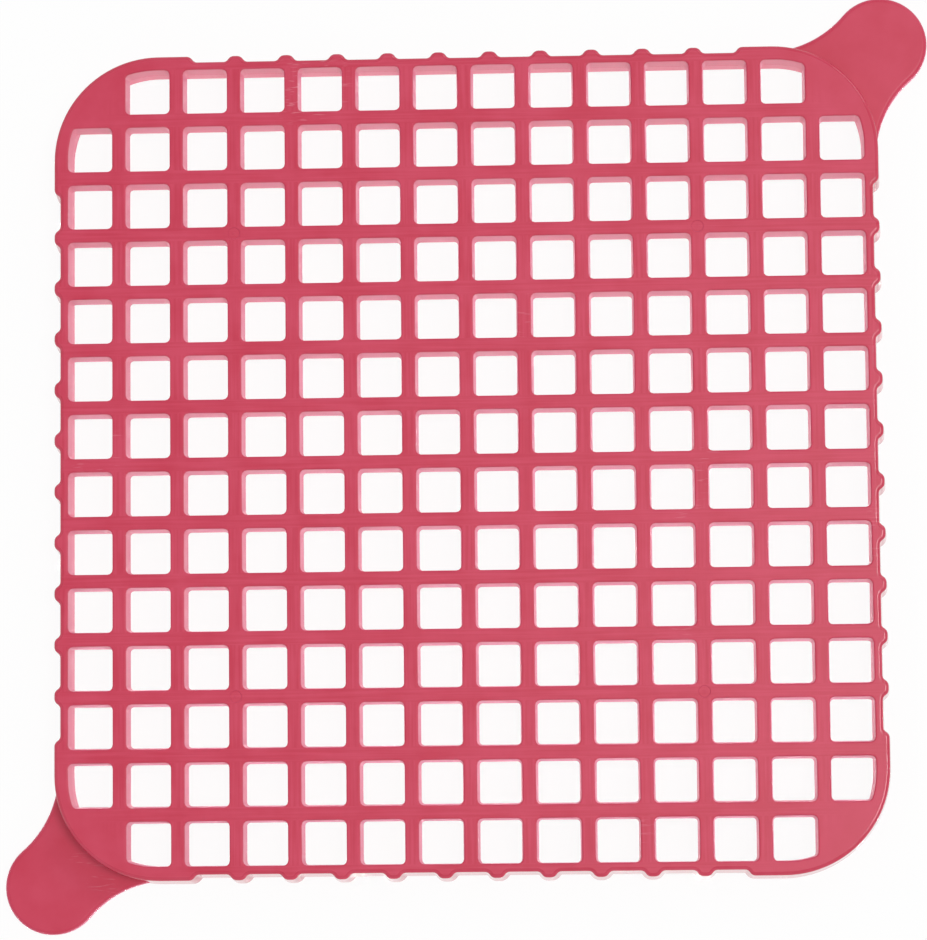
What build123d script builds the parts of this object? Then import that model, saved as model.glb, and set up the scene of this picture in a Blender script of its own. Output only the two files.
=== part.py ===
"""Cleaning grid for the pusher of a hand vegetable chopper.

A flat square grid sits inside a taller rim. The pusher's square fingers run through the
grid's cells, small lugs on the rim locate the grid in the pusher's frame, and a pull tab on
two opposite corners peels it off. The real object is one flexible moulding. It is modelled
as the members that it is made up of, which meet face to face. Millimetres, +Z up, with the
origin at the centre of the underside.
"""

from build123d import *
from math import radians, sqrt, tan
import os

os.makedirs("parts", exist_ok=True)

# Grid
cells_per_side = 14
cell_pitch = 6.35  # the pusher's fingers stand a quarter of an inch apart
bar_width = 1.5  # on the top face
grid_thickness = 2.9
draft_angle = 3.5  # degrees, the bars widen towards the foot

# Rim
rim_height = 5.1
rim_wall = 0.9  # top face, between the outer cells and the recessed outer line
inner_draft_angle = 0.5  # degrees, the inside of the rim
outer_draft_angle = 4.0  # degrees, the outside of the rim and its lugs
corner_radius = 11.5  # outside
bore_corner_radius = 9.6  # inside

# Lugs on the rim
lug_pitch = 5.6
lug_foot = 2.05  # width where a lug leaves the rim
lug_crown = 1.15  # width of its outer face
lug_height = 0.65  # how far it stands out
shortest_corner_run = 3.0  # straight, full-width stretch that each corner keeps beside its arc

# Pull tabs
tab_thickness = 2.0
tab_head_radius = 5.2
tab_neck_radius = 11.3
tab_head_out = 0.55  # the head's centre stands this far outside both outer lines

# What follows from those sizes
bore_half = cells_per_side / 2 * cell_pitch - bar_width / 2
recess_half = bore_half + rim_wall
outer_half = recess_half + lug_height
lug_gap = lug_pitch - lug_foot
lug_flank = (lug_foot - lug_crown) / 2
corner_centre = outer_half - corner_radius
lug_count = int((2 * (corner_centre - shortest_corner_run - lug_flank) - lug_gap) / lug_pitch)
rail_half = (lug_count * lug_pitch + lug_gap) / 2
draft_slope = tan(radians(draft_angle))
inner_flare = rim_height * tan(radians(inner_draft_angle))
outer_flare = rim_height * tan(radians(outer_draft_angle))
bar_foot_width = bar_width + 2 * grid_thickness * draft_slope
bar_places = [(n - cells_per_side / 2) * cell_pitch for n in range(1, cells_per_side)]

corner_cell_spacing = (cells_per_side - 1) * cell_pitch

top_face = Plane.XY.offset(rim_height)
grid_middle = rim_height - grid_thickness / 2
side_turns = {"back": 0, "left": 90, "front": 180, "right": 270}
corner_turns = {"back_right": 0, "back_left": 90, "front_left": 180, "front_right": 270}
tab_turns = {"back_right": 0, "front_left": 180}


def write(builder, label):
    """Label a finished piece and write it to a STEP file of that name."""
    builder.part.label = label
    export_step(builder.part, f"parts/{label}.step")


# The space inside the rim, which the grid fills at the top. It is a rounded square that
# narrows towards the underside, because the rim's inner wall leans in.
with BuildPart() as bore:
    with BuildSketch(top_face):
        RectangleRounded(2 * bore_half, 2 * bore_half, bore_corner_radius)
    extrude(amount=-rim_height, taper=inner_draft_angle)

# Crosswise bars: whole from side to side, wider at the foot than on top.
with BuildPart() as crosswise_set:
    with BuildSketch(Plane.YZ.offset(-bore_half)):
        with Locations([(place, grid_middle) for place in bar_places]):
            Trapezoid(bar_foot_width, grid_thickness, 90 - draft_angle)
    extrude(amount=2 * bore_half)
    add(bore.part, mode=Mode.INTERSECT)

# Lengthwise bars: a row of short lengths, one between each pair of crosswise bars.
with BuildPart() as lengthwise_set:
    with BuildSketch(Plane.XZ.offset(-bore_half)):
        with Locations([(place, grid_middle) for place in bar_places]):
            Trapezoid(bar_foot_width, grid_thickness, 90 - draft_angle)
    extrude(amount=2 * bore_half)
    add(bore.part, mode=Mode.INTERSECT)
    add(crosswise_set.part, mode=Mode.SUBTRACT)

crosswise_solids = crosswise_set.solids().sort_by(Axis.Y)
lengthwise_solids = lengthwise_set.solids()
for number, place in enumerate(bar_places, start=1):
    with BuildPart() as crosswise_bar:
        add(crosswise_solids[number - 1])
    write(crosswise_bar, f"crosswise_bar_{number:02d}")
    nearest = (place - cell_pitch / 2, place + cell_pitch / 2)
    with BuildPart() as lengthwise_bar:
        add(lengthwise_solids.filter_by_position(Axis.X, *nearest))
    write(lengthwise_bar, f"lengthwise_bar_{number:02d}")

# Corner plates: the grid's four corner cells are filled solid, as thick as the bars.
with BuildPart() as corner_plate_set:
    with BuildSketch(top_face):
        with GridLocations(corner_cell_spacing, corner_cell_spacing, 2, 2):
            Rectangle(cell_pitch, cell_pitch)
    extrude(amount=-grid_thickness)
    add(bore.part, mode=Mode.INTERSECT)
    add(crosswise_set.part, mode=Mode.SUBTRACT)
    add(lengthwise_set.part, mode=Mode.SUBTRACT)

for corner, turn in corner_turns.items():
    outward = Axis((0, 0, 0), Vector(1, 1, 0).rotate(Axis.Z, turn))
    with BuildPart() as corner_plate:
        add(corner_plate_set.solids().sort_by(outward)[-1])
    write(corner_plate, f"{corner}_corner_plate")

# Rails: the straight sides of the rim, out to its recessed outer line. Both walls lean out.
rails = []
for side, turn in side_turns.items():
    with BuildPart() as rail:
        with BuildSketch(Plane.YZ.rotated((0, 0, turn)).offset(-rail_half)):
            Polygon(
                (bore_half, rim_height),
                (recess_half, rim_height),
                (recess_half + outer_flare, 0),
                (bore_half - inner_flare, 0),
                align=None,
            )
        extrude(amount=2 * rail_half)
    write(rail, f"{side}_rail")
    rails.append(rail.part)

# Lugs: a row on each rail, trapezoids in plan and as tall as the rim. Each is drawn with a
# stub inside the rail, which the rail then cuts away, so that the two meet face to face.
lug_stub = rim_wall / 2
lug_row = [((n - (lug_count - 1) / 2) * lug_pitch, recess_half) for n in range(lug_count)]
for (side, turn), rail in zip(side_turns.items(), rails):
    with BuildPart() as lugs:
        with BuildSketch(top_face.rotated((0, 0, turn))):
            with Locations(lug_row):
                Polygon(
                    (-lug_foot / 2, -lug_stub),
                    (-lug_foot / 2, 0),
                    (-lug_crown / 2, lug_height),
                    (lug_crown / 2, lug_height),
                    (lug_foot / 2, 0),
                    (lug_foot / 2, -lug_stub),
                    align=None,
                )
        extrude(amount=-rim_height, taper=-outer_draft_angle)
        add(rail, mode=Mode.SUBTRACT)
    write(lugs, f"{side}_lugs")

# Rim corners: each stands out to the lugs' outer line, turns a quarter circle outside and
# inside, and steps back at both ends to the rails' recessed line.
corner_blocks = {}
for corner, turn in corner_turns.items():
    with BuildPart() as corner_block:
        with BuildSketch(top_face.rotated((0, 0, turn))):
            with BuildLine():
                back_run = Polyline(
                    (rail_half, rail_half),
                    (rail_half, recess_half),
                    (rail_half + lug_flank, outer_half),
                    (corner_centre, outer_half),
                )
                bend = RadiusArc(back_run @ 1, (outer_half, corner_centre), corner_radius)
                Polyline(
                    bend @ 1,
                    (outer_half, rail_half + lug_flank),
                    (recess_half, rail_half),
                    (rail_half, rail_half),
                )
            make_face()
        extrude(amount=-rim_height, taper=-outer_draft_angle)
    corner_blocks[corner] = corner_block.part
    with BuildPart() as rim_corner:
        add(corner_block.part)
        add(bore.part, mode=Mode.SUBTRACT)
        add(rails, mode=Mode.SUBTRACT)
    write(rim_corner, f"{corner}_rim_corner")

# Pull tabs: flat, low on the rim, on two opposite corners. The round head is joined to both
# sides of the corner by a neck whose hollow arcs run into the rim's outer lines.
head_centre = outer_half + tab_head_out
head_tip = head_centre + tab_head_radius / sqrt(2)
neck_far = outer_half + tab_neck_radius
neck_reach = tab_head_radius + tab_neck_radius
neck_near = head_centre - sqrt(neck_reach**2 - (neck_far - head_centre) ** 2)
blend = tab_head_radius / neck_reach
join_near = head_centre + (neck_near - head_centre) * blend
join_far = head_centre + (neck_far - head_centre) * blend
for corner, turn in tab_turns.items():
    with BuildPart() as pull_tab:
        with BuildSketch(Plane.XY.rotated((0, 0, turn))):
            with BuildLine():
                back_neck = TangentArc(
                    (neck_near, outer_half), (join_near, join_far), tangent=(1, 0)
                )
                head = ThreePointArc(
                    back_neck @ 1, (head_tip, head_tip), (join_far, join_near)
                )
                side_neck = TangentArc(
                    (outer_half, neck_near), (join_far, join_near), tangent=(0, 1)
                )
                Line(side_neck @ 0, back_neck @ 0)
            make_face()
        extrude(amount=tab_thickness)
        add(corner_blocks[corner], mode=Mode.SUBTRACT)
    write(pull_tab, f"{corner}_pull_tab")
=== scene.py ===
"""The looks of a cleaning grid for a hand vegetable chopper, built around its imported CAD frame.

The real thing is one soft plastic moulding: a square grid inside a taller rim with small lugs
and a pull tab on two opposite corners. Metres, +Z up, underside on the table at Z = 0.
"""

import bpy
import numpy as np
from mathutils import Matrix, Vector
from mathutils.geometry import delaunay_2d_cdt


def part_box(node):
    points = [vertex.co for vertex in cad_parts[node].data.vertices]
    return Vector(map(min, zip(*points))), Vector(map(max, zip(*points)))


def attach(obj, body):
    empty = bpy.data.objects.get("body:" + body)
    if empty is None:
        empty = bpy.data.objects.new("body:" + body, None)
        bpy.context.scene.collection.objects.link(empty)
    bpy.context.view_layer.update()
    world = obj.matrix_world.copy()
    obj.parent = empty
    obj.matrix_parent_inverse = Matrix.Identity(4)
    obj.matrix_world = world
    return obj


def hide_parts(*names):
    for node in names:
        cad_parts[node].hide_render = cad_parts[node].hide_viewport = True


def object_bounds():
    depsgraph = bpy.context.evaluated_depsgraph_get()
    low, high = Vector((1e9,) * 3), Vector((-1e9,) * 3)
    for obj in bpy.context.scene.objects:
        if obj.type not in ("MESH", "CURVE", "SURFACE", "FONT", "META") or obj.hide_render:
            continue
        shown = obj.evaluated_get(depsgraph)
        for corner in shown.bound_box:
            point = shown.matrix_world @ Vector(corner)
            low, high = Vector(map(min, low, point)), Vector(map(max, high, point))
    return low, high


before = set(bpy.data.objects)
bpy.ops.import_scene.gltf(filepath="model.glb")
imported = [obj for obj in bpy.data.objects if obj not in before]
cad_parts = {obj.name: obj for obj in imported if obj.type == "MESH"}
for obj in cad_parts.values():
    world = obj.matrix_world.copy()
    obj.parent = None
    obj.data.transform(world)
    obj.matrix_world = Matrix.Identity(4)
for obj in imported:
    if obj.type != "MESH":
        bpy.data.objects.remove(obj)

cad_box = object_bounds()
scene = bpy.context.scene
mm = 0.001

# ------------------------------------------------------------------------------------------------
# Camera
# A long lens looks almost straight down, leaning a little towards the front and the right, so
# that the walls of the far cells show and those of the near ones hide.
# ------------------------------------------------------------------------------------------------
lens_focal_length = 153.2  # on the 36 mm side of the sensor
lens_distance = 435.4 * mm
lens_lean = Vector((0.0423, -0.0978, 1.0)).normalized()  # from the part towards the lens
lens_roll = np.radians(0.54)
looked_at = Vector((-0.43 * mm, -1.03 * mm, cad_box[1].z))
nearest_seen, farthest_seen = 10 * mm, 10.0

camera = bpy.data.objects.new("camera", bpy.data.cameras.new("camera"))
scene.collection.objects.link(camera)
camera.data.lens = lens_focal_length
camera.data.clip_start = nearest_seen
camera.data.clip_end = farthest_seen
to_right = (-lens_lean).cross(Vector((np.sin(lens_roll), np.cos(lens_roll), 0))).normalized()
camera.matrix_world = Matrix.Translation(looked_at + lens_lean * lens_distance) @ Matrix(
    (to_right, lens_lean.cross(to_right), lens_lean)
).transposed().to_4x4()
scene.camera = camera

# ------------------------------------------------------------------------------------------------
# Table
# A plain matt white sheet. It is white where it is seen, or mirrored in the plastic, and keeps a
# weak share of its real shading, which is the part's soft shadow.
# ------------------------------------------------------------------------------------------------
table_half = 3.0
table_paper = "#FAFAF9"
table_shadow_share = 0.06


def linear(colour):
    """The linear RGBA of an sRGB hex colour."""
    part = np.array([int(colour[k : k + 2], 16) for k in (1, 3, 5)]) / 255
    part = np.where(part <= 0.04045, part / 12.92, ((part + 0.055) / 1.055) ** 2.4)
    return (*part.tolist(), 1.0)


def add_node(tree, kind, inputs=None, **settings):
    """Adds a node, sets its properties, then sets each input or links it to a given socket."""
    node = tree.nodes.new(kind)
    for name, value in settings.items():
        setattr(node, name, value)
    for name, value in (inputs or {}).items():
        if isinstance(value, bpy.types.NodeSocket):
            tree.links.new(value, node.inputs[name])
        else:
            node.inputs[name].default_value = value
    return node


def new_material(name):
    """An empty node material with its output node."""
    material = bpy.data.materials.new(name)
    material.use_nodes = True
    material.node_tree.nodes.clear()
    return material, material.node_tree, add_node(material.node_tree, "ShaderNodeOutputMaterial")


def seen_directly(tree):
    """A socket that is 1 for rays from the lens, from gloss and through clear things, else 0."""
    ray = add_node(tree, "ShaderNodeLightPath")
    gloss = add_node(
        tree,
        "ShaderNodeMath",
        {0: ray.outputs["Is Camera Ray"], 1: ray.outputs["Is Glossy Ray"]},
        operation="MAXIMUM",
    )
    clear = add_node(
        tree,
        "ShaderNodeMath",
        {0: gloss.outputs[0], 1: ray.outputs["Is Transmission Ray"]},
        operation="MAXIMUM",
    )
    return clear.outputs[0]


table_material, tree, output = new_material("matt_white_table")
paper = add_node(tree, "ShaderNodeBsdfDiffuse", {"Color": linear(table_paper)})
white = add_node(tree, "ShaderNodeEmission", {"Color": (1, 1, 1, 1), "Strength": 1.0})
share = add_node(
    tree,
    "ShaderNodeMath",
    {0: seen_directly(tree), 1: 1 - table_shadow_share},
    operation="MULTIPLY",
)
table_look = add_node(
    tree, "ShaderNodeMixShader", {0: share.outputs[0], 1: paper.outputs[0], 2: white.outputs[0]}
)
tree.links.new(table_look.outputs[0], output.inputs["Surface"])

table_mesh = bpy.data.meshes.new("table")
table_corners = np.array([(-1, -1, 0), (1, -1, 0), (1, 1, 0), (-1, 1, 0)]) * table_half
table_mesh.from_pydata(table_corners.tolist(), [], [(0, 1, 2, 3)])
table_mesh.materials.append(table_material)
table = bpy.data.objects.new("table", table_mesh)
scene.collection.objects.link(table)

# ------------------------------------------------------------------------------------------------
# Light
# A white room, a soft key lamp nearly overhead, on the right, a low lamp behind the right corner
# that lines the rounded edges there, and a broad lamp below, which lights the cells' walls
# through the sheet as a light table does.
# ------------------------------------------------------------------------------------------------
room_strength = 0.6
key_size = 0.3
key_power = 2.75
key_place = Vector((0.31, -0.02, 0.95))
back_size = 0.3
back_power = 0.8
back_place = Vector((0.55, 0.6, 0.6))
under_size = 1.0
under_power = 2.6
under_place = Vector((0, -0.3, -0.25))

world = bpy.data.worlds.new("white_room")
scene.world = world
world.use_nodes = True
tree = world.node_tree
tree.nodes.clear()
room = add_node(
    tree,
    "ShaderNodeMapRange",
    {"Value": seen_directly(tree), "To Min": room_strength, "To Max": 1.0},
)
sky = add_node(
    tree, "ShaderNodeBackground", {"Color": (1, 1, 1, 1), "Strength": room.outputs[0]}
)
add_node(tree, "ShaderNodeOutputWorld", {"Surface": sky.outputs[0]})


def soft_lamp(name, place, facing, size, power):
    """A square area lamp of a size in metres, at a place and turned to shine along facing."""
    lamp = bpy.data.objects.new(name, bpy.data.lights.new(name, "AREA"))
    lamp.data.size = size
    lamp.data.energy = power
    lamp.location = place
    lamp.rotation_mode = "QUATERNION"
    lamp.rotation_quaternion = facing.to_track_quat("-Z", "Y")
    scene.collection.objects.link(lamp)
    return lamp


soft_lamp("key_lamp", key_place, -key_place, key_size, key_power)
soft_lamp("back_lamp", back_place, -back_place, back_size, back_power)
under_lamp = soft_lamp("under_lamp", under_place, Vector((0, 0, 1)), under_size, under_power)
# Only shadow rays pass through the sheet, so the lamp is sampled by those alone.
under_lamp.data.cycles.use_multiple_importance_sampling = False
table.visible_shadow = False

# ------------------------------------------------------------------------------------------------
# Grid
# Bars a millimetre and a half wide cross on a quarter-inch pitch, and the four corner cells are
# filled. It is moulded in soft red polyethylene against satin steel, with every cell drafted and
# its edges gently rounded, and four faint marks where ejector pins pushed it out.
# ------------------------------------------------------------------------------------------------
cells_per_side = 14
bar_top_width = 1.5 * mm
cell_draft = np.radians(3.5)
rim_draft = np.radians(0.5)  # the inside of the rim, which closes the outermost cells
cell_corner_radius = 0.55 * mm
top_edge_radius = 0.18 * mm
foot_edge_radius = 0.12 * mm
corner_steps, top_edge_steps, foot_edge_steps = 3, 3, 2
seam_out = 0.45 * mm  # the grid's hidden border inside the rim wall, out from the cells' edge
bore_corner_radius = 9.6 * mm
bore_corner_turn = np.radians(17.3)  # how much of the rim's bend an end cell takes in
end_corner_steps, bend_steps = 4, 24
plate_mismatch = 0.03 * mm  # the cell pins stand this much proud of the rim's core
mark_radius = 0.68 * mm
mark_depth = 0.035 * mm
mark_nub_radius = 0.2 * mm
mark_pitches = 4  # the marks are this many cells from the grid's centre lines
mark_sides = 24
mark_wall_tilt, nub_tilt = np.radians((150, 40))

first_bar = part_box("crosswise_bar_01")
second_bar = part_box("crosswise_bar_02")
back_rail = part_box("back_rail")
rim_top = back_rail[1].z
grid_underside = first_bar[0].z
cell_pitch = (second_bar[0].y + second_bar[1].y - first_bar[0].y - first_bar[1].y) / 2
inner_flare = rim_top * np.tan(rim_draft)
bore_half = back_rail[0].y + inner_flare
bore_centre = bore_half - bore_corner_radius
cell_half = (cell_pitch - bar_top_width) / 2


def rounded_path(corners, radii, steps):
    """Points of a closed path and its normals to the right of travel.

    The path runs straight from corner to corner. Each corner is turned by an arc of its radius,
    whose centre lies where it touches both sides, and the normal turns with the arc.
    """
    corners = np.asarray(corners, float)
    radii, steps = np.broadcast_to(radii, len(corners)), np.broadcast_to(steps, len(corners))
    coming = corners - np.roll(corners, 1, axis=0)
    coming /= np.linalg.norm(coming, axis=1, keepdims=True)
    going = np.roll(coming, -1, axis=0)
    turn = np.arctan2(
        coming[:, 0] * going[:, 1] - coming[:, 1] * going[:, 0], (coming * going).sum(1)
    )
    side = np.sign(turn)
    left = np.stack([-coming[:, 1], coming[:, 0]], 1)
    reach = radii * np.tan(np.abs(turn) / 2)
    centre = corners - coming * reach[:, None] + left * (side * radii)[:, None]
    which = np.repeat(np.arange(len(corners)), steps + 1)
    first = np.repeat(np.cumsum(steps + 1) - steps - 1, steps + 1)
    heading = np.arctan2(coming[:, 1], coming[:, 0])[which]
    heading = heading + turn[which] * (np.arange(len(which)) - first) / steps[which]
    normals = np.stack([np.sin(heading), -np.cos(heading)], 1)
    return centre[which] + normals * (side * radii)[which][:, None], normals


def edge_profile(start, end, radius, steps):
    """Quarter turn of a rounded edge as rows of outward distance, height and normal tilt.

    The normal tilts from start to end, both angles above the outward direction, and each point
    is radius along its normal from the turn's centre, which is left at zero.
    """
    tilt = np.linspace(start, end, steps + 1)
    return np.stack([radius * np.cos(tilt), radius * np.sin(tilt), tilt], 1)


def carry(points, normals, profile):
    """A profile carried along closed paths: each point moves out along its normal and to a height.

    points and normals are [..., around, 2] and profile is rows of outward distance, height and
    tilt. Returns vertices and their normals as [..., step, around, 3].
    """
    out, height, tilt = (profile[:, k, None, None] for k in range(3))
    flat = points[..., None, :, :] + normals[..., None, :, :] * out
    turned = normals[..., None, :, :] * np.cos(tilt)
    level = np.broadcast_to(height, flat[..., :1].shape)
    rise = np.broadcast_to(np.sin(tilt), flat[..., :1].shape)
    return np.concatenate([flat, level], -1), np.concatenate([turned, rise], -1)


class Shell:
    """Gathers the strips and flat caps of one closed surface, then makes them a mesh."""

    def __init__(self):
        self.places, self.normals, self.faces, self.count = [], [], [], 0

    def strips(self, places, normals, inside=False):
        """Adds rings of quads for [..., step, around, 3]; inside turns them to face inwards."""
        steps, around = places.shape[-3:-1]
        loops = places.reshape(-1, steps, around, 3)
        base = self.count + np.arange(len(loops))[:, None, None] * steps * around
        step = np.arange(steps - 1)[None, :, None] * around
        here = np.arange(around)[None, None, :]
        there = (here + 1) % around
        quad = np.stack(
            [base + step + here, base + step + around + here,
             base + step + around + there, base + step + there], -1,
        ).reshape(-1, 4)
        self.faces += (quad[:, ::-1] if inside else quad).tolist()
        self.places.append(loops.reshape(-1, 3))
        self.normals.append(normals.reshape(-1, 3))
        self.count += loops.size // 3

    def cap(self, border, holes, up):
        """Adds the flat face between a border loop and convex holes, as a triangulation whose
        triangles keep to the loops' own edges. A triangle with all its corners on one hole
        fills that hole, so it is left out."""
        loops = [np.asarray(border)] + [np.asarray(h) for h in holes]
        sizes = np.array([len(loop) for loop in loops])
        first = np.cumsum(sizes) - sizes
        points = np.concatenate(loops)
        edges = np.concatenate(
            [np.stack([f + np.arange(n), f + (np.arange(n) + 1) % n], 1)
             for f, n in zip(first, sizes)]
        )
        made, _, triangles, source, _, _ = delaunay_2d_cdt(
            [Vector(p) for p in points[:, :2]], edges.tolist(), [], 1, 1e-9
        )
        owner = np.repeat(np.arange(len(loops)), sizes)[[s[0] for s in source]]
        triangles = np.array(triangles)
        owners = owner[triangles]
        filled = (owners[:, 0] == owners[:, 1]) & (owners[:, 1] == owners[:, 2])
        triangles = triangles[~(filled & (owners[:, 0] > 0))]
        triangles = triangles if up else triangles[:, ::-1]
        self.faces += (triangles + self.count).tolist()
        self.places.append(np.array([(p.x, p.y, points[0, 2]) for p in made]))
        self.normals.append(np.tile((0, 0, 1.0 if up else -1.0), (len(made), 1)))
        self.count += len(made)

    def finished(self, name):
        """The mesh object, smooth, with the exact normals of the formula at every vertex."""
        mesh = bpy.data.meshes.new(name)
        mesh.from_pydata(np.concatenate(self.places).tolist(), [], self.faces)
        mesh.shade_smooth()
        mesh.normals_split_custom_set_from_vertices(np.concatenate(self.normals).tolist())
        piece = bpy.data.objects.new(name, mesh)
        scene.collection.objects.link(piece)
        return piece


def within_rim(places, slack):
    """Brings points back inside the rim's inner wall, a square whose corners are arcs."""
    flat, height = places[..., :2], places[..., 2]
    limit = bore_corner_radius - (rim_top - height) * np.tan(rim_draft) + slack
    past = np.maximum(np.abs(flat) - bore_centre, 0)
    far = np.maximum(np.linalg.norm(past, axis=-1), 1e-12)
    held = np.minimum(np.abs(flat), bore_centre) + past * np.minimum(1, limit / far)[..., None]
    return np.concatenate([np.sign(flat) * held, places[..., 2:]], -1)


def stand_by_rim(places, points, normals):
    """Stands the outermost cells' rim side up straight, because it is the rim's own wall.

    Its points move out by their depth times the difference of the two drafts' slopes, in the
    share of their normal that faces the rim. The side walls keep the cell's draft.
    """
    middle = points.mean(axis=-2)
    facing = np.sign(middle) * (np.abs(middle) > (cells_per_side / 2 - 1) * cell_pitch)
    share = np.maximum((normals * facing[:, None]).sum(-1), 0)
    depth = rim_top - places[..., 2]
    back = share[:, None] * depth * (np.tan(cell_draft) - np.tan(rim_draft))
    flat = places[..., :2] + facing[:, None, None] * back[..., None]
    return np.concatenate([flat, places[..., 2:]], -1)


upright, level = np.radians(90), np.radians(0)

# A cell's wall, from the top face down: rounded edge, drafted wall, rounded foot. Outward is
# away from the cell's middle, into the bar, so the wall's normal points inwards.
top_edge = edge_profile(upright, cell_draft, top_edge_radius, top_edge_steps)
foot_edge = edge_profile(cell_draft, -upright, foot_edge_radius, foot_edge_steps)
wall_lean = (rim_top - grid_underside) * np.tan(cell_draft)
opening_steps = np.array([
    *[(top_edge_radius - r, rim_top - top_edge_radius + h, t) for r, h, t in top_edge],
    *[(-wall_lean + foot_edge_radius - r, grid_underside + foot_edge_radius + h, t)
      for r, h, t in foot_edge],
])

corner_signs = np.array([(-1, -1), (1, -1), (1, 1), (-1, 1)])
plain_cell = rounded_path(corner_signs * cell_half, cell_corner_radius, corner_steps)
column, row = np.meshgrid(np.arange(cells_per_side), np.arange(cells_per_side))
edge_distance = np.minimum(column, cells_per_side - 1 - column) + np.minimum(
    row, cells_per_side - 1 - row
)
plain = edge_distance > 1
cell_centres = (np.stack([column[plain], row[plain]], 1) - (cells_per_side - 1) / 2) * cell_pitch
plain_points = cell_centres[:, None, :] + plain_cell[0]
plain_normals = np.broadcast_to(plain_cell[1], plain_points.shape)

# The two cells beside each filled corner lose their outer corner to the rim's bend.
end_left = (cells_per_side / 2 - 2) * cell_pitch + bar_top_width / 2
end_right = end_left + 2 * cell_half
end_front = bore_half - 2 * cell_half
bend_end = bore_corner_radius * np.sin(bore_corner_turn)
end_corners = [
    (end_left, end_front),
    (end_right, end_front),
    (end_right, bore_centre + bore_corner_radius * np.cos(bore_corner_turn)
     - (end_right - bore_centre - bend_end) * np.tan(bore_corner_turn)),
    (bore_centre + bore_corner_radius * np.tan(bore_corner_turn / 2), bore_half),
    (end_left, bore_half),
]
end_radii = np.array([*[cell_corner_radius] * 3, bore_corner_radius, cell_corner_radius])
end_path = rounded_path(end_corners, end_radii, end_corner_steps)
mirrored = [(p[::-1] * (-1, 1)) for p in end_path]
quarter_turns = [np.array([(np.cos(a), -np.sin(a)), (np.sin(a), np.cos(a))]).round()
                 for a in np.radians([0, 90, 180, 270])]
end_points = np.array([p @ q.T for p in (end_path[0], mirrored[0]) for q in quarter_turns])
end_normals = np.array([n @ q.T for n in (end_path[1], mirrored[1]) for q in quarter_turns])

bore_path = rounded_path(corner_signs * bore_half, bore_corner_radius, bend_steps)
seam_top = carry(*bore_path, np.array([(seam_out, rim_top, level)]))[0][0]
seam_foot = carry(*bore_path, np.array([(seam_out, grid_underside, level)]))[0][0]

grid_shell = Shell()
top_holes, foot_holes = [], []
for points, normals in ((plain_points, plain_normals), (end_points, end_normals)):
    places, tilts = carry(points, normals, opening_steps)
    places = stand_by_rim(places, points, normals)
    tilts[..., :2] *= -1
    low = places[..., 2] < grid_underside + 1.5 * foot_edge_radius
    places = np.where(low[..., None], within_rim(places, plate_mismatch), places)
    grid_shell.strips(places, tilts, inside=True)
    top_holes += list(places[:, 0])
    foot_holes += list(places[:, -1])

# An ejector mark, from its border inwards: a shallow round pit with a small nub in the middle.
mark_steps = np.array([
    (mark_radius, rim_top, upright),
    (mark_radius - 0.5 * mark_depth, rim_top - 0.15 * mark_depth, mark_wall_tilt),
    (mark_radius - 1.5 * mark_depth, rim_top - 0.85 * mark_depth, mark_wall_tilt),
    (mark_radius - 2.5 * mark_depth, rim_top - mark_depth, upright),
    (mark_nub_radius, rim_top - mark_depth, upright),
    (mark_nub_radius - mark_depth, rim_top - 0.3 * mark_depth, nub_tilt),
    (mark_nub_radius - 2 * mark_depth, rim_top - 0.1 * mark_depth, upright),
])
around = np.linspace(0, 2 * np.pi, mark_sides + 1)[:-1]
ring = np.stack([np.cos(around), np.sin(around)], 1)
mark_centres, mark_normals = np.broadcast_arrays(
    (corner_signs * mark_pitches * cell_pitch)[:, None], ring
)
marks, mark_tilts = carry(mark_centres, mark_normals, mark_steps)
grid_shell.strips(marks, mark_tilts, inside=True)
for mark in marks:
    grid_shell.cap(mark[-1], [], up=True)
top_holes += list(marks[:, 0])
grid_shell.cap(seam_top, top_holes, up=True)
grid_shell.cap(seam_foot, foot_holes, up=False)
hidden_side, hidden_normals = carry(
    *bore_path, np.array([(seam_out, rim_top, level), (seam_out, grid_underside, level)])
)
grid_shell.strips(hidden_side, hidden_normals)
grid = grid_shell.finished("moulded_grid")

# Soft polyethylene straight from the tool: an even satin skin, a faint cloudiness from the flow
# of the melt, and along each bar the fine lines of the cutter that milled its slot. A few short
# pale scuffs are wear. Light scatters a little way into it, which gives grazing views a bloom.
plastic_red = "#C72546"
plastic_pale = "#D03B59"
scuff_pale = "#E08C9C"
bloom_pink = "#FF98CC"
cloud_size = 5 * mm
skin_grain = 0.35 * mm
cutter_line = Vector((9.0, 0.3, 0.3)) * mm  # length along the bar, width, depth
scuff_stroke = Vector((1.5, 0.2, 1.5)) * mm
scuff_turn = np.radians(-32)
scuff_spacing = 16 * mm
scuff_stroke_range = (0.6, 0.72)  # the noise's level where a stroke starts and where it is full
scuff_spot_range = (0.77, 0.9)
mottle_range = (0.75, 1.25)
satin_roughness = (0.36, 0.44)
polyethylene_ior = 1.51
skin_depth, skin_strength = 0.01 * mm, 0.25
bloom_weight, bloom_roughness = 0.5, 0.5
last_bar_reach = 77 * mm  # how far out the bars go, X and Y added up, before the filled corners

plastic, tree, output = new_material("satin_red_polyethylene")
place = add_node(tree, "ShaderNodeTexCoord").outputs["Object"]
clouds = add_node(
    tree,
    "ShaderNodeTexNoise",
    {"Vector": place, "Scale": 1 / cloud_size, "Detail": 3.0, "Roughness": 0.55},
)

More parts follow.
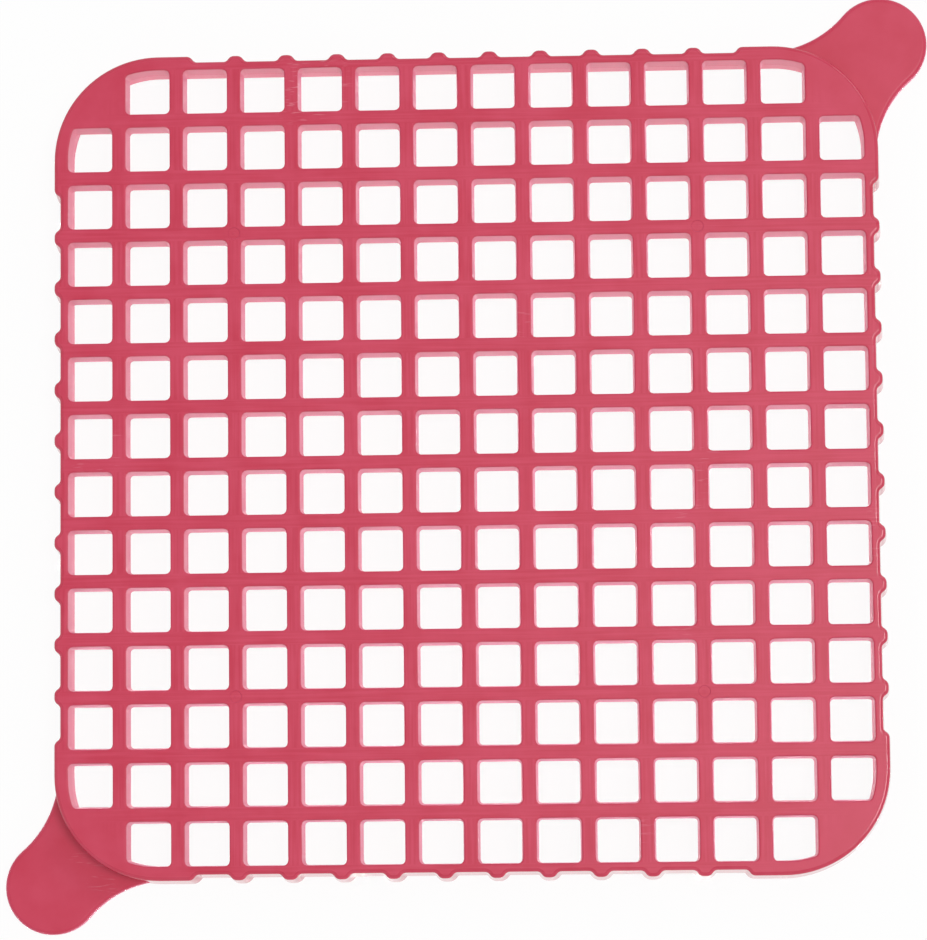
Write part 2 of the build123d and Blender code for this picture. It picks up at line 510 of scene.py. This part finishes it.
# Cutter lines run crosswise on the crosswise bars, whose middles lie a pitch apart, and
# lengthwise on the other bars. The filled corners and the tabs have none.
from_middle = add_node(tree, "ShaderNodeVectorMath", {0: place}, operation="ABSOLUTE")
reach = add_node(tree, "ShaderNodeSeparateXYZ", {0: from_middle.outputs[0]})
from_bar = add_node(
    tree, "ShaderNodeMath", {0: reach.outputs["Y"], 1: cell_pitch / 2}, operation="PINGPONG"
)
on_crosswise = add_node(
    tree,
    "ShaderNodeMath",
    {0: from_bar.outputs[0], 1: bar_top_width / 2},
    operation="LESS_THAN",
)
crosswise = add_node(
    tree,
    "ShaderNodeMapping",
    {"Vector": place, "Scale": [1 / size for size in cutter_line]},
)
lengthwise = add_node(
    tree,
    "ShaderNodeMapping",
    {"Vector": place, "Scale": [1 / size for size in cutter_line.yxz]},
)
along_bar = add_node(
    tree,
    "ShaderNodeMix",
    {0: on_crosswise.outputs[0], 4: lengthwise.outputs[0], 5: crosswise.outputs[0]},
    data_type="VECTOR",
)
milled = add_node(
    tree, "ShaderNodeTexNoise", {"Vector": along_bar.outputs[1], "Scale": 1.0, "Detail": 1.0}
)
outwards = add_node(
    tree, "ShaderNodeMath", {0: reach.outputs["X"], 1: reach.outputs["Y"]}, operation="ADD"
)
on_bars = add_node(
    tree,
    "ShaderNodeMapRange",
    {"Value": outwards.outputs[0], "From Min": last_bar_reach + cell_pitch / 2,
     "From Max": last_bar_reach - cell_pitch / 2},
)
lines = add_node(
    tree, "ShaderNodeMix", {0: on_bars.outputs[0], 2: 0.5, 3: milled.outputs["Fac"]},
    data_type="FLOAT",
)

mottle = add_node(
    tree, "ShaderNodeMath", {0: clouds.outputs["Fac"], 1: lines.outputs[0]}, operation="ADD"
)
paleness = add_node(
    tree,
    "ShaderNodeMapRange",
    {"Value": mottle.outputs[0], "From Min": mottle_range[0], "From Max": mottle_range[1]},
)
clean_colour = add_node(
    tree,
    "ShaderNodeMix",
    {0: paleness.outputs[0], 6: linear(plastic_red), 7: linear(plastic_pale)},
    data_type="RGBA",
)

# Scuffs are short slanting strokes, kept to a few spots.
slanting = add_node(
    tree,
    "ShaderNodeMapping",
    {"Vector": place, "Rotation": (0, 0, scuff_turn),
     "Scale": [1 / size for size in scuff_stroke]},
)
strokes = add_node(
    tree, "ShaderNodeTexNoise", {"Vector": slanting.outputs[0], "Scale": 1.0, "Detail": 1.0}
)
in_stroke = add_node(
    tree,
    "ShaderNodeMapRange",
    {"Value": strokes.outputs["Fac"], "From Min": scuff_stroke_range[0],
     "From Max": scuff_stroke_range[1]},
)
spots = add_node(
    tree,
    "ShaderNodeTexNoise",
    {"Vector": place, "Scale": 1 / scuff_spacing, "Detail": 0.0},
)
in_spot = add_node(
    tree,
    "ShaderNodeMapRange",
    {"Value": spots.outputs["Fac"], "From Min": scuff_spot_range[0],
     "From Max": scuff_spot_range[1]},
)
scuffed = add_node(
    tree, "ShaderNodeMath", {0: in_stroke.outputs[0], 1: in_spot.outputs[0]},
    operation="MULTIPLY",
)
colour = add_node(
    tree,
    "ShaderNodeMix",
    {0: scuffed.outputs[0], 6: clean_colour.outputs[2], 7: linear(scuff_pale)},
    data_type="RGBA",
)

grain = add_node(
    tree, "ShaderNodeTexNoise", {"Vector": place, "Scale": 1 / skin_grain, "Detail": 2.0}
)
relief = add_node(
    tree, "ShaderNodeMath", {0: grain.outputs["Fac"], 1: lines.outputs[0]}, operation="ADD"
)
skin = add_node(
    tree,
    "ShaderNodeBump",
    {"Height": relief.outputs[0], "Strength": skin_strength, "Distance": skin_depth},
)

satin = add_node(
    tree,
    "ShaderNodeMapRange",
    {"Value": mottle.outputs[0], "From Min": mottle_range[0], "From Max": mottle_range[1],
     "To Min": satin_roughness[0], "To Max": satin_roughness[1]},
)
body = add_node(
    tree,
    "ShaderNodeBsdfPrincipled",
    {"Base Color": colour.outputs[2], "Roughness": satin.outputs[0],
     "IOR": polyethylene_ior, "Normal": skin.outputs[0], "Sheen Weight": bloom_weight,
     "Sheen Roughness": bloom_roughness, "Sheen Tint": linear(bloom_pink)},
)
tree.links.new(body.outputs[0], output.inputs["Surface"])

grid.data.materials.append(plastic)
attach(grid, "root")
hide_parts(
    *[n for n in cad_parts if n.startswith(("crosswise_bar", "lengthwise_bar"))],
    *[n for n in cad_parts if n.endswith("corner_plate")],
)

# ------------------------------------------------------------------------------------------------
# Rim with its lugs
# A wall nearly a millimetre thick and taller than the grid, drafted on both sides. Ten lugs on
# each side and a full-width stretch at each corner stand out from it. One moulding with the grid.
# ------------------------------------------------------------------------------------------------
lug_pitch = 5.6 * mm
lug_foot = 2.05 * mm
lug_crown = 1.15 * mm
lugs_per_side = 10
lug_crown_radius = 0.75 * mm
lug_root_radius = 0.6 * mm
outer_draft = np.radians(4.0)
outer_corner_radius = 11.5 * mm
rim_edge_radius = 0.4 * mm  # outside, on top
rim_foot_radius = 0.16 * mm
rim_edge_steps, rim_foot_steps, lug_bend_steps = 4, 3, 4
polished_roughness = 0.08

outer_flare = rim_top * np.tan(outer_draft)
recess_half = back_rail[1].y - outer_flare
outer_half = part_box("back_lugs")[1].y - outer_flare
rail_half = back_rail[1].x
lug_flank = (lug_foot - lug_crown) / 2

# One side from the right-hand corner to the left-hand one: down the corner's step, along the
# lugs, and up the next step. Four of these, each turned a quarter, make the rim's outline.
lug_middles = (np.arange(lugs_per_side)[::-1] - (lugs_per_side - 1) / 2) * lug_pitch
lug_outline = np.array([(lug_foot / 2, recess_half), (lug_crown / 2, outer_half),
                        (-lug_crown / 2, outer_half), (-lug_foot / 2, recess_half)])
side_outline = np.concatenate([
    [(outer_half, outer_half), (rail_half + lug_flank, outer_half), (rail_half, recess_half)],
    (lug_outline + lug_middles[:, None, None] * (1, 0)).reshape(-1, 2),
    [(-rail_half, recess_half), (-rail_half - lug_flank, outer_half)],
])
outline = np.concatenate([side_outline @ q.T for q in quarter_turns])
bends = np.concatenate([
    [outer_corner_radius, lug_crown_radius, lug_root_radius],
    [lug_root_radius, lug_crown_radius, lug_crown_radius, lug_root_radius] * lugs_per_side,
    [lug_root_radius, lug_crown_radius],
])
steps = np.where(bends == outer_corner_radius, bend_steps, lug_bend_steps)
outline_path = rounded_path(outline, np.tile(bends, 4), np.tile(steps, 4))

rim_top_edge = edge_profile(upright, outer_draft, rim_edge_radius, rim_edge_steps)
outer_foot_edge = edge_profile(outer_draft, -upright, rim_foot_radius, rim_foot_steps)
inner_foot_edge = edge_profile(rim_draft, -upright, rim_foot_radius, rim_foot_steps)
outside_steps = np.array([
    *[(r - rim_edge_radius, rim_top - rim_edge_radius + h, t) for r, h, t in rim_top_edge],
    *[(outer_flare - rim_foot_radius + r, rim_foot_radius + h, t)
      for r, h, t in outer_foot_edge],
])
inside_steps = np.array([
    (seam_out, rim_top, level),
    (seam_out, grid_underside, level),
    (-(rim_top - grid_underside) * np.tan(rim_draft), grid_underside, rim_draft),
    *[(-inner_flare + rim_foot_radius - r, rim_foot_radius + h, t)
      for r, h, t in inner_foot_edge],
])

rim_shell = Shell()
outside, outside_normals = carry(*outline_path, outside_steps)
rim_shell.strips(outside, outside_normals)
inside, inside_normals = carry(*bore_path, inside_steps)
inside_normals[..., :2] *= -1
rim_shell.strips(inside, inside_normals, inside=True)
rim_shell.cap(outside[0], [inside[0]], up=True)
rim_shell.cap(outside[-1], [inside[-1]], up=False)
rim = rim_shell.finished("rim_with_lugs")
rim.data.materials.append(plastic)

# The rim's outside comes off a polished ring in the tool, so it shines and mirrors the table,
# from its rounded top edge down to the foot.
polished_plastic = plastic.copy()
polished_plastic.name = "polished_red_polyethylene"
shine = polished_plastic.node_tree.nodes[body.name].inputs
polished_plastic.node_tree.links.remove(shine["Roughness"].links[0])
shine["Roughness"].default_value = polished_roughness
shine["Sheen Weight"].default_value = 0.0
rim.data.materials.append(polished_plastic)
around_outside = outside.shape[-2]
face_material = np.zeros(len(rim.data.polygons), int)
face_material[: (len(outside_steps) - 1) * around_outside] = 1
rim.data.polygons.foreach_set("material_index", face_material)
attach(rim, "root")
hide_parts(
    *[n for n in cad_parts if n.endswith(("_rail", "_lugs", "_rim_corner"))]
)

# ------------------------------------------------------------------------------------------------
# Pull tabs
# Two flat thumb tabs, half as tall as the rim, on opposite corners. Each has a round head on a
# neck whose hollow sides run into the rim. Moulded with the rest, with well rounded edges.
# ------------------------------------------------------------------------------------------------
tab_head_radius = 5.2 * mm
tab_neck_radius = 11.3 * mm
tab_edge_radius = 0.5 * mm
tab_lift = 0.02 * mm  # keeps the tabs' flat underside clear of the sheet
tab_edge_steps, neck_steps, head_steps = 4, 16, 32

tab_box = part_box("back_right_pull_tab")
tab_top = tab_box[1].z
head_centre = tab_box[1].x - tab_head_radius
neck_far = outer_half + tab_neck_radius
neck_near = head_centre - np.sqrt(
    (tab_head_radius + tab_neck_radius) ** 2 - (neck_far - head_centre) ** 2
)
rim_bend_centre = outer_half - outer_corner_radius
hidden_radius = (outer_corner_radius + bore_corner_radius) / 2  # the middle of the rim wall


def arc(centre, radius, start, end, steps):
    """Points at a radius from a centre, evenly spread from one angle to another, and the unit
    directions from the centre to them."""
    angle = np.linspace(start, end, steps + 1)
    away = np.stack([np.cos(angle), np.sin(angle)], 1)
    return np.asarray(centre) + radius * away, away


# The side neck's hollow arc starts where it touches the rim's outer line and ends on the head.
towards_head = np.arctan2(head_centre - neck_near, head_centre - neck_far)
side_neck = arc((neck_far, neck_near), tab_neck_radius, np.pi, towards_head, neck_steps)
head_start = towards_head - np.pi
head_end = np.pi / 2 - head_start
head = arc((head_centre, head_centre), tab_head_radius, head_start, head_end, head_steps)
across = np.array([(0, 1), (1, 0)])
back_neck = [p[::-1] @ across for p in side_neck]
overrun = np.arctan2(rim_bend_centre - neck_near, hidden_radius)
hidden = arc((rim_bend_centre,) * 2, hidden_radius, np.pi / 2 + overrun, -overrun, bend_steps)
tab_points = np.concatenate([side_neck[0][:-1], head[0], back_neck[0][1:], hidden[0]])
tab_normals = np.concatenate([-side_neck[1][:-1], head[1], -back_neck[1][1:], -hidden[1]])
is_hidden = np.arange(len(tab_points)) >= len(tab_points) - len(hidden[0])

tab_top_edge = edge_profile(upright, level, tab_edge_radius, tab_edge_steps)
tab_foot_edge = edge_profile(level, -upright, tab_edge_radius, tab_edge_steps)
tab_steps = np.array([
    *[(r - tab_edge_radius, tab_top - tab_edge_radius + h, t) for r, h, t in tab_top_edge],
    *[(r - tab_edge_radius, tab_lift + tab_edge_radius + h, t) for r, h, t in tab_foot_edge],
])
for name, turn in (("back_right_pull_tab", 0), ("front_left_pull_tab", 2)):
    places, tilts = carry(tab_points, tab_normals, tab_steps)
    places[:, is_hidden, :2] = tab_points[is_hidden]
    flat_turn = quarter_turns[turn]
    places[..., :2] = places[..., :2] @ flat_turn.T
    tilts[..., :2] = tilts[..., :2] @ flat_turn.T
    tab_shell = Shell()
    tab_shell.strips(places, tilts)
    tab_shell.cap(places[0], [], up=True)
    tab_shell.cap(places[-1], [], up=False)
    tab = tab_shell.finished("visual_" + name)
    tab.data.materials.append(plastic)
    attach(tab, "root")
    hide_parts(name)

scene.view_settings.view_transform = "Standard"
